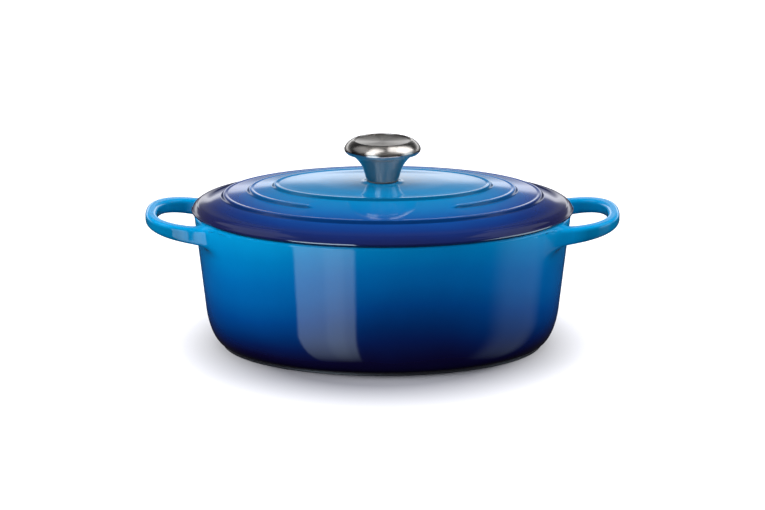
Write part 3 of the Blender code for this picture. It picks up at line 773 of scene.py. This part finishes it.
class Nodes:
    """A node tree, with short helpers for its nodes. A value may be a number or an output."""

    def __init__(self, owner):
        owner.use_nodes = True
        self.tree = owner.node_tree

    def plug(self, socket, value):
        """Link an output to a socket, or set the socket's own value."""
        if isinstance(value, bpy.types.NodeSocket):
            self.tree.links.new(value, socket)
        else:
            socket.default_value = value

    def node(self, kind, inputs=(), **settings):
        """Add a node, with its settings and its inputs as (socket, value)."""
        made = self.tree.nodes.new("ShaderNode" + kind)
        for key, value in settings.items():
            setattr(made, key, value)
        for socket, value in inputs:
            self.plug(made.inputs[socket], value)
        return made

    def math(self, operation, *values, clamp=False):
        """A math node's result."""
        return self.node("Math", list(enumerate(values)), operation=operation,
                         use_clamp=clamp).outputs[0]

    def run(self, x, y):
        """Length of (x, y)."""
        return self.math('SQRT', self.math('ADD', self.math('MULTIPLY', x, x),
                                           self.math('MULTIPLY', y, y)))

    def between(self, value, first, last, low=0.0, high=1.0, kind='LINEAR'):
        """Map the run from first to last onto the run from low to high."""
        return self.node("MapRange", [(0, value), (1, first), (2, last), (3, low), (4, high)],
                         interpolation_type=kind).outputs[0]

    def split(self, vector):
        """A vector's x, y and z."""
        return self.node("SeparateXYZ", [(0, vector)]).outputs

    def join(self, *parts):
        """A vector from its x, y and z."""
        return self.node("CombineXYZ", list(enumerate(parts))).outputs[0]

    def ramp(self, value, stops, first, last):
        """Colour stops laid out between two values, as (value, colour)."""
        node = self.node("ValToRGB", [(0, self.between(value, first, last))])
        elements = node.color_ramp.elements
        while len(elements) < len(stops):
            elements.new(0.5)
        for element, (at, colour) in zip(elements, stops):
            element.position = (at - first) / (last - first)
            element.color = (*colour, 1.0)
        return node.outputs[0]


class Look(Nodes):
    """One procedural material."""

    def __init__(self, name):
        self.material = bpy.data.materials.new(name)
        super().__init__(self.material)
        self.shader = self.tree.nodes["Principled BSDF"]
        self.place = self.node("TexCoord").outputs["Object"]

    def facing(self):
        """How far the surface faces up, from -1 to 1."""
        return self.split(self.node("TexCoord").outputs["Normal"])[2]

    def noise(self, scale, detail=2.0, size=1.0, vector=None):
        """Noise about zero, up to roughly half its size either way."""
        node = self.node("TexNoise", [("Vector", vector or self.place), ("Scale", scale),
                                      ("Detail", detail)])
        return self.math('MULTIPLY_ADD', node.outputs[0], size, -0.5 * size)

    def mottle(self, value, dark, light, span=0.4):
        """A colour that goes from dark to light as a value goes from -span to span."""
        return self.ramp(value, [(-span, dark), (span, light)], -span, span)

    def brighten(self, colour, amount):
        """Multiply a colour by one plus an amount."""
        factor = self.math('ADD', 1.0, amount)
        return self.node("VectorMath", [(0, colour), (1, self.join(factor, factor, factor))],
                         operation='MULTIPLY').outputs[0]

    def set(self, **sockets):
        """Set or link the shader's sockets. Underscores stand for spaces."""
        for name, value in sockets.items():
            self.plug(self.shader.inputs[name.replace("_", " ")], value)

    def bump(self, *layers):
        """Stack bumps given as (height output, depth in metres)."""
        normal = None
        for height, depth in layers:
            inputs = [("Height", height), ("Distance", depth), ("Strength", 1.0)]
            if normal is not None:
                inputs.append(("Normal", normal))
            normal = self.node("Bump", inputs).outputs[0]
        self.set(Normal=normal)


HANDLE_PAINTED_SHADE = 0.45            # share of the colour taken off the handles' sides and undersides as painted shade
STEP_PAINTED_SHADE = 0.5               # share of the colour taken off the steep flanks of the lid's steps as painted shade
# The pot's gradient is shifted up towards the front right: painted shade of the front, which the
# side lights leave dim, together with a real shift of hue.
SHADE_SIDE = math.radians(14.0)     # right of the front, where the gradient is shifted up most: painted shade, with a real hue shift
SHADE_LEVEL = 66.0 * MM             # height where it is shifted most
SHADE_REACH = 58.0 * MM             # the shift has died out this far above and below
SHADE_SHIFT = 24.0 * MM             # how far up it is shifted there
CLOUD_SHIFT = 7.0 * MM             # how far soft clouds shift the gradients
LID_SPREAD = 22.0 * MM             # how much further in the lid's gradient lies front and back
BRUSH_RINGS = 5200.0               # rings of brushing per metre
POT_STOPS = [(0.0, srgb(15, 8, 34)), (9.0 * MM, srgb(16, 13, 52)), (16.0 * MM, srgb(9, 29, 84)),
             (22.0 * MM, srgb(3, 44, 104)), (35.0 * MM, srgb(1, 68, 138)),
             (50.0 * MM, srgb(1, 92, 163)), (64.0 * MM, srgb(1, 104, 175)),
             (80.0 * MM, srgb(0, 122, 188)), (96.0 * MM, srgb(3, 144, 204))]
LID_STOPS = [(55.0 * MM, srgb(5, 122, 176)), (70.0 * MM, srgb(7, 117, 171)),
             (85.0 * MM, srgb(8, 106, 165)), (98.0 * MM, srgb(10, 88, 153)),
             (110.0 * MM, srgb(12, 64, 134)), (120.0 * MM, srgb(16, 46, 110)),
             (128.0 * MM, srgb(21, 36, 90)), (136.0 * MM, srgb(26, 29, 70)),
             (144.0 * MM, srgb(24, 20, 50))]


def finish_enamel(look, colour, gloss=0.05):
    """Glossy enamel: faint specks, a slight orange peel and a varying gloss."""
    tone = look.math('ADD', look.noise(1400.0, 2.0, 0.10), look.noise(60.0, 3.0, 0.10))
    look.set(Base_Color=look.brighten(colour, tone), IOR=1.5,
             Roughness=look.math('ADD', gloss, look.noise(90.0, 3.0, 0.05)))
    look.bump((look.noise(42.0, 1.0), 0.016 * MM), (look.noise(230.0, 2.0), 0.0075 * MM))
    return look.material


def pot_enamel():
    """Azure at the rim, near-black blue at the base, with painted shade towards the front right and
    on the handles' sides and undersides.
    """
    look = Look("pot_enamel_look")
    x, y, z = look.split(look.place)
    # shift the gradient up towards the front right: painted shade, partly a real hue shift
    towards = look.math('SUBTRACT', look.math('MULTIPLY', x, math.sin(SHADE_SIDE)),
                        look.math('MULTIPLY', y, math.cos(SHADE_SIDE)))
    share = look.math('POWER', look.math('DIVIDE', towards, look.run(x, y), clamp=True), 2.5)
    level = look.math('DIVIDE', look.math('SUBTRACT', z, SHADE_LEVEL), SHADE_REACH)
    shift = look.math('SUBTRACT', 1.0, look.math('POWER', level, 2.0), clamp=True)
    shift = look.math('MULTIPLY', shift, SHADE_SHIFT)
    height = look.math('SUBTRACT', z, look.math('MULTIPLY', share, shift))
    height = look.math('ADD', height, look.noise(16.0, 2.0, CLOUD_SHIFT))
    colour = look.ramp(height, POT_STOPS, 0.0, 104.0 * MM)
    # painted shade on the downward-facing sides of the handles
    under = look.between(look.facing(), 0.85, -0.1)
    handle = look.between(look.math('ABSOLUTE', x), HANDLE_ROOT + 1.0 * MM,
                          HANDLE_ROOT + 12.0 * MM, 0.0, -HANDLE_PAINTED_SHADE)
    return finish_enamel(look, look.brighten(colour, look.math('MULTIPLY', under, handle)))


def lid_enamel():
    """Azure in the middle, through royal blue to violet navy at the edge, with painted shade on the
    steps' flanks.
    """
    look = Look("lid_enamel_look")
    x, y, z = look.split(look.place)
    run = look.run(x, y)
    across = look.math('POWER', look.math('DIVIDE', y, look.math('ADD', run, 0.1 * MM)), 2.0)
    spread = look.math('ADD', run, look.math('MULTIPLY', across, LID_SPREAD))
    spread = look.math('ADD', spread, look.noise(16.0, 2.0, CLOUD_SHIFT))
    colour = look.ramp(spread, LID_STOPS, 40.0 * MM, 145.0 * MM)
    # painted shade on the steep flanks of the steps
    steep = look.between(look.facing(), 0.98, 0.82)
    inner = look.between(z, 111.5 * MM, 113.5 * MM, 0.0, -STEP_PAINTED_SHADE)
    return finish_enamel(look, look.brighten(colour, look.math('MULTIPLY', steep, inner)))


def sand_enamel():
    """Pale sand enamel with fine specks."""
    look = Look("sand_enamel_look")
    colour = look.mottle(look.noise(22.0, 3.0), srgb(214, 196, 160), srgb(232, 219, 190), 0.3)
    return finish_enamel(look, colour, 0.10)


def matt_rim():
    """Thin matt black enamel of the rims and the foot."""
    look = Look("matt_rim_look")
    colour = look.mottle(look.noise(500.0, 3.0), (0.008, 0.008, 0.011), (0.03, 0.032, 0.042))
    look.set(Base_Color=colour, Roughness=0.38)
    look.bump((look.noise(900.0, 3.0), 0.03 * MM))
    return look.material


def silicone():
    """Matt dark grey-blue silicone."""
    look = Look("silicone_look")
    colour = look.mottle(look.noise(400.0, 3.0), (0.035, 0.055, 0.075), (0.06, 0.085, 0.11))
    look.set(Base_Color=colour, Roughness=0.6)
    look.bump((look.noise(1200.0, 2.0), 0.02 * MM))
    return look.material


def brushed_steel(name, dark, light, roughness, sunburst):
    """Steel with fine rings of brushing about the Z axis, and a soft sunburst on flat faces."""
    look = Look(name)
    x, y, z = look.split(look.place)
    radius, turn = look.run(x, y), look.math('ARCTAN2', y, x)
    rings = look.join(look.math('MULTIPLY', radius, BRUSH_RINGS),
                      look.math('MULTIPLY', z, BRUSH_RINGS), look.math('MULTIPLY', turn, 1.5))
    rays = look.join(look.math('COSINE', turn), look.math('SINE', turn),
                     look.math('MULTIPLY', radius, 8.0))
    scratches = look.noise(1.0, 3.0, vector=rings)
    fan = look.noise(5.0, 4.0, sunburst, rays)
    tone = look.math('ADD', look.math('MULTIPLY', scratches, 0.5), fan)
    tangent = look.node("Tangent", direction_type='RADIAL', axis='Z').outputs[0]
    look.set(Base_Color=look.mottle(tone, dark, light, 0.35), Metallic=1.0, Tangent=tangent,
             Roughness=look.math('ADD', roughness, look.math('MULTIPLY', scratches, 0.10)),
             Anisotropic=0.75, Anisotropic_Rotation=0.25)
    look.bump((scratches, 0.004 * MM))
    return look.material


def turned_metal(name, dark, light, roughness):
    """Machined metal with a fine uneven grain."""
    look = Look(name)
    tone = look.math('ADD', look.noise(700.0, 4.0), look.noise(90.0, 2.0))
    look.set(Base_Color=look.mottle(tone, dark, light), Metallic=1.0,
             Roughness=look.math('ADD', roughness, look.math('MULTIPLY', tone, 0.12)))
    look.bump((look.noise(700.0, 3.0), 0.006 * MM))
    return look.material


sand, black_rim = sand_enamel(), matt_rim()
steel = brushed_steel("stainless_look", (0.25, 0.24, 0.235), (0.44, 0.425, 0.41), 0.23, 0.10)
dish_steel = brushed_steel("brushed_cap_look", (0.20, 0.19, 0.185), (0.50, 0.485, 0.47), 0.30, 0.75)
zinc = turned_metal("washer_look", (0.42, 0.43, 0.45), (0.62, 0.63, 0.65), 0.28)
spring = turned_metal("spring_look", (0.13, 0.13, 0.14), (0.24, 0.24, 0.25), 0.34)
screw_steel = turned_metal("screw_look", (0.45, 0.45, 0.46), (0.66, 0.66, 0.67), 0.22)
brass = turned_metal("brass_look", (0.55, 0.38, 0.15), (0.80, 0.60, 0.28), 0.25)


# ---------------------------------------------------------------- pieces
def stand_in(made, body, node):
    """Put a finished piece on its body, in place of its CAD node."""
    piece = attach(made, body)
    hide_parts(node)


stand_in(make_pot([pot_enamel(), black_rim, sand]), "pot", "pot")
stand_in(make_lid([lid_enamel(), black_rim, sand]), "lid", "lid")
stand_in(make_knob_shell(steel), "lid", "knob_shell")
stand_in(make_knob_cap(dish_steel), "lid", "knob_cap")
stand_in(make_gasket(silicone()), "lid", "knob_gasket")
stand_in(make_insert(brass), "lid", "knob_insert")
stand_in(make_flat_washer(zinc), "washers", "flat_washer")
stand_in(make_lock_washer(spring), "washers", "lock_washer")
stand_in(make_screw(screw_steel), "screw", "knob_screw")


# ---------------------------------------------------------------- stage
STAGE_MIDDLE = np.array((0.0, 0.0, 60.0 * MM))
FLOOR_HALF = 8.0
FLOOR_LEVEL = -0.1 * MM            # a hair under the pot, so the two never coincide
# The floor glows white outside this oval: painted light that shapes the pot's soft shadow.
SHADOW_HALF_LENGTH = 129.0 * MM
SHADOW_HALF_WIDTH = 145.0 * MM
SHADOW_EDGE = (0.76, 1.35)         # shares of that oval between which the floor's glow comes in, painting the edge of the pot's shadow
# (sine of the elevation, brightness) of reflections: a bright band low behind, dark elsewhere
BACKDROP = ((-0.06, 0.02), (-0.01, 0.12), (0.03, 0.35), (0.08, 0.55), (0.12, 1.1), (0.155, 1.8),
            (0.21, 1.7), (0.235, 1.0), (0.25, 0.5), (0.27, 0.32), (0.30, 0.22), (0.36, 0.16),
            (0.45, 0.10), (0.6, 0.04), (1.0, 0.02))
# lamps: name, degrees left of the front, degrees up, distance, width, height, strength, colour
DIFFUSE_LIGHTS = (
    ("key_left", 74.0, 28.0, 1.6, 1.0, 1.0, 6.4),
    ("fill_right", -98.0, 28.0, 1.6, 1.0, 1.0, 5.6),
    ("top", 0.0, 88.0, 1.5, 1.6, 1.6, 1.5),
    ("back_fill", 180.0, 35.0, 1.8, 1.2, 1.0, 1.2),
    ("front_fill", 0.0, 24.0, 1.8, 1.0, 1.0, 2.5),
)
# panels: name, degrees left of the front, half-span in degrees, lowest and highest elevation,
# strength, and the share of the width over which each side fades, where it does
PANELS = (
    ("softbox_left", 29.5, 17.0, -60.0, 26.0, 2.35, 0.07),
    ("softbox_left_core", 24.0, 7.0, -60.0, 26.0, 0.5, 0.3),
    ("softbox_right", -83.0, 27.0, -58.0, -16.0, 0.44, 0.35),
    ("softbox_right_upper", -83.0, 27.0, -16.0, 26.0, 1.8, 0.35),
)
HIGH_SOFTBOXES = (
    ("high_left", 100.0, 50.0, 1.7, 1.3, 0.9, 0.5),
    ("high_right", -100.0, 50.0, 1.7, 1.3, 0.9, 0.5),
)
KNOB_GLOWS = (
    ("knob_left", 43.0, 58.0, 1.4, 0.60, 1.4, 3.4, (1.0, 0.99, 0.97)),
    ("knob_right", -97.0, 54.0, 1.4, 1.1, 1.4, 3.0, (1.0, 0.99, 0.97)),
    ("knob_sky", 0.0, 80.0, 1.4, 2.6, 2.6, 0.30, (1.0, 0.97, 0.94)),
    # the lid hides these low ones from most of the knob's reflections, hence their strength
    ("knob_low", 0.0, -58.0, 1.1, 2.6, 1.6, 4.5, (0.94, 0.97, 1.0)),
    ("knob_low_left", 27.0, -56.0, 1.3, 0.24, 1.3, 12.0, (0.95, 0.98, 1.0)),
    ("knob_low_right", -76.0, -56.0, 1.3, 0.4, 1.3, 12.0, (0.95, 0.98, 1.0)),
)
LIP_PANELS = (
    ("lip_glow_left", 29.5, 16.5, -45.0, 0.0, 11.0),
    ("lip_glow_right", -83.0, 24.0, -45.0, 0.0, 6.0),
)
PANEL_DISTANCE = 1.3
PANEL_COLOUR = (0.70, 0.88, 1.0)
PANEL_FADE = 0.7                   # share of a tall panel's height over which it fades in
CAMERA_DISTANCE = 2.2
CAMERA_LENS = 138.7
CAMERA_ELEVATION = math.radians(15.04)
CAMERA_TARGET = np.array((0.0, 0.0, 67.4 * MM))


def area_light(name, centre, towards, width, height, strength, colour=(1.0, 1.0, 1.0)):
    """A rectangular soft light that the camera doesn't see. Strength is its surface brightness."""
    light = bpy.data.lights.new(name, 'AREA')
    light.shape = 'RECTANGLE'
    light.size, light.size_y = width, height
    light.energy = strength * width * height * math.pi
    light.color = colour
    made = new_object(name, light)
    made.location = centre
    aim = mathutils.Vector(np.array(towards, float) - np.array(centre, float))
    made.rotation_euler = aim.to_track_quat('-Z', 'Y').to_euler()
    made.visible_camera = False
    return made


def direction(left, up):
    """Unit vector at an azimuth left of the front and an elevation, both in degrees."""
    turn, rise = math.radians(left), math.radians(up)
    return np.array((-math.sin(turn) * math.cos(rise), -math.cos(turn) * math.cos(rise),
                     math.sin(rise)))


def aimed_light(name, left, up, distance, *shape):
    """An area light aimed at the pot from an azimuth and an elevation."""
    centre = STAGE_MIDDLE + direction(left, up) * distance
    return area_light(name, centre, STAGE_MIDDLE, *shape)


def light_stage():
    """Side and top lights for the colour, and tall panels that only show as reflections."""
    for spec in DIFFUSE_LIGHTS:
        aimed_light(*spec).visible_glossy = False
    for spec in PANELS:
        tall_panel(*spec)
    for spec in LIP_PANELS:
        only_for(tall_panel(*spec), "lid_casting")
    for spec in KNOB_GLOWS:
        lamp = aimed_light(*spec)
        lamp.visible_diffuse = False
        only_for(lamp, "knob_body", "knob_dish")
    for spec in HIGH_SOFTBOXES:
        aimed_light(*spec).visible_diffuse = False


def tall_panel(name, left, half_span, lowest, highest, strength, side_fade=None):
    """An upright panel that only shows as a reflection, and may fade to its foot and sides."""
    low = PANEL_DISTANCE * math.tan(math.radians(lowest))
    high = PANEL_DISTANCE * math.tan(math.radians(highest))
    middle = (0.0, 0.0, 0.5 * (low + high))
    width = 2.0 * PANEL_DISTANCE * math.tan(math.radians(half_span))
    made = area_light(name, direction(left, 0.0) * PANEL_DISTANCE + middle, middle, width,
                      high - low, strength, PANEL_COLOUR)
    made.visible_diffuse = False
    if side_fade is not None:
        nodes = Nodes(made.data)
        across, up, _ = nodes.split(nodes.node("NewGeometry").outputs["Parametric"])
        level = nodes.between(up, 0.0, PANEL_FADE, kind='SMOOTHSTEP')
        for near, far in ((0.0, side_fade), (1.0, 1.0 - side_fade)):
            side = nodes.between(across, near, far, kind='SMOOTHSTEP')
            level = nodes.math('MULTIPLY', level, side)
        nodes.plug(nodes.tree.nodes["Emission"].inputs["Strength"], level)
    return made


def only_for(lamp, *names):
    """Let a lamp light, and be shaded by, the named pieces alone."""
    group = bpy.data.collections.new(lamp.name + "_pieces")
    for name in names:
        group.objects.link(bpy.data.objects[name])
    lamp.light_linking.receiver_collection = group
    lamp.light_linking.blocker_collection = group


def make_floor():
    """A large floor whose dim bluish colour and white glow away from the pot paint its soft shadow
    over the real one.
    """
    mesh = bpy.data.meshes.new("floor")
    half = FLOOR_HALF
    mesh.from_pydata([(-half, -half, FLOOR_LEVEL), (half, -half, FLOOR_LEVEL),
                      (half, half, FLOOR_LEVEL), (-half, half, FLOOR_LEVEL)], [], [(0, 1, 2, 3)])
    look = Look("floor_look")
    # dim bluish colour near the pot: painted tint and depth of the pot's shadow
    colour = look.mottle(look.noise(3.0), (0.32, 0.32, 0.36), (0.33, 0.33, 0.365), 0.5)
    look.set(Base_Color=look.brighten(colour, look.noise(300.0, size=0.01)), Roughness=0.9)
    x, y, _ = look.split(look.place)
    away = look.run(look.math('DIVIDE', x, SHADOW_HALF_LENGTH),
                    look.math('DIVIDE', y, SHADOW_HALF_WIDTH))
    # painted light: the floor glows white away from the pot
    look.set(Emission_Color=(1.0, 1.0, 1.0, 1.0),
             Emission_Strength=look.between(away, *SHADOW_EDGE, 0.0, 0.95))
    mesh.materials.append(look.material)
    made = new_object("floor", mesh)
    made.visible_glossy = False
    made.visible_diffuse = False


def make_world():
    """White to the camera, dim all round to surfaces, and a backdrop glow in reflections."""
    world = bpy.data.worlds.new("studio")
    bpy.context.scene.world = world
    nodes = Nodes(world)

    def background(colour, strength):
        """An even glow."""
        return nodes.node("Background", [(0, colour), (1, strength)]).outputs[0]

    def choose(factor, first, second):
        """The first shader, or the second one where the factor is one."""
        return nodes.node("MixShader", [(0, factor), (1, first), (2, second)]).outputs[0]

    path = nodes.node("LightPath").outputs
    _, back, rise = nodes.split(nodes.node("TexCoord").outputs["Generated"])
    glow = nodes.ramp(rise, [(at, (level,) * 3) for at, level in BACKDROP], -0.1, 1.0)
    mirrored = background(glow, nodes.between(back, 0.25, 0.75))
    surround = background((0.92, 0.96, 1.0, 1.0), 0.42)
    seen = choose(path["Is Glossy Ray"], surround, mirrored)
    seen = choose(path["Is Camera Ray"], seen, background((1.0, 1.0, 1.0, 1.0), 1.0))
    nodes.plug(nodes.tree.nodes["World Output"].inputs[0], seen)


def make_camera():
    """Long lens from slightly above the front."""
    data = bpy.data.cameras.new("camera")
    data.lens = CAMERA_LENS
    data.sensor_width = 36.0
    made = new_object("camera", data)
    away = (0.0, -math.cos(CAMERA_ELEVATION), math.sin(CAMERA_ELEVATION))
    made.location = CAMERA_TARGET + CAMERA_DISTANCE * np.array(away)
    made.rotation_euler = (math.radians(90.0) - CAMERA_ELEVATION, 0.0, 0.0)
    bpy.context.scene.camera = made


make_floor()
make_world()
light_stage()
make_camera()
bpy.context.scene.view_settings.view_transform = 'Standard'
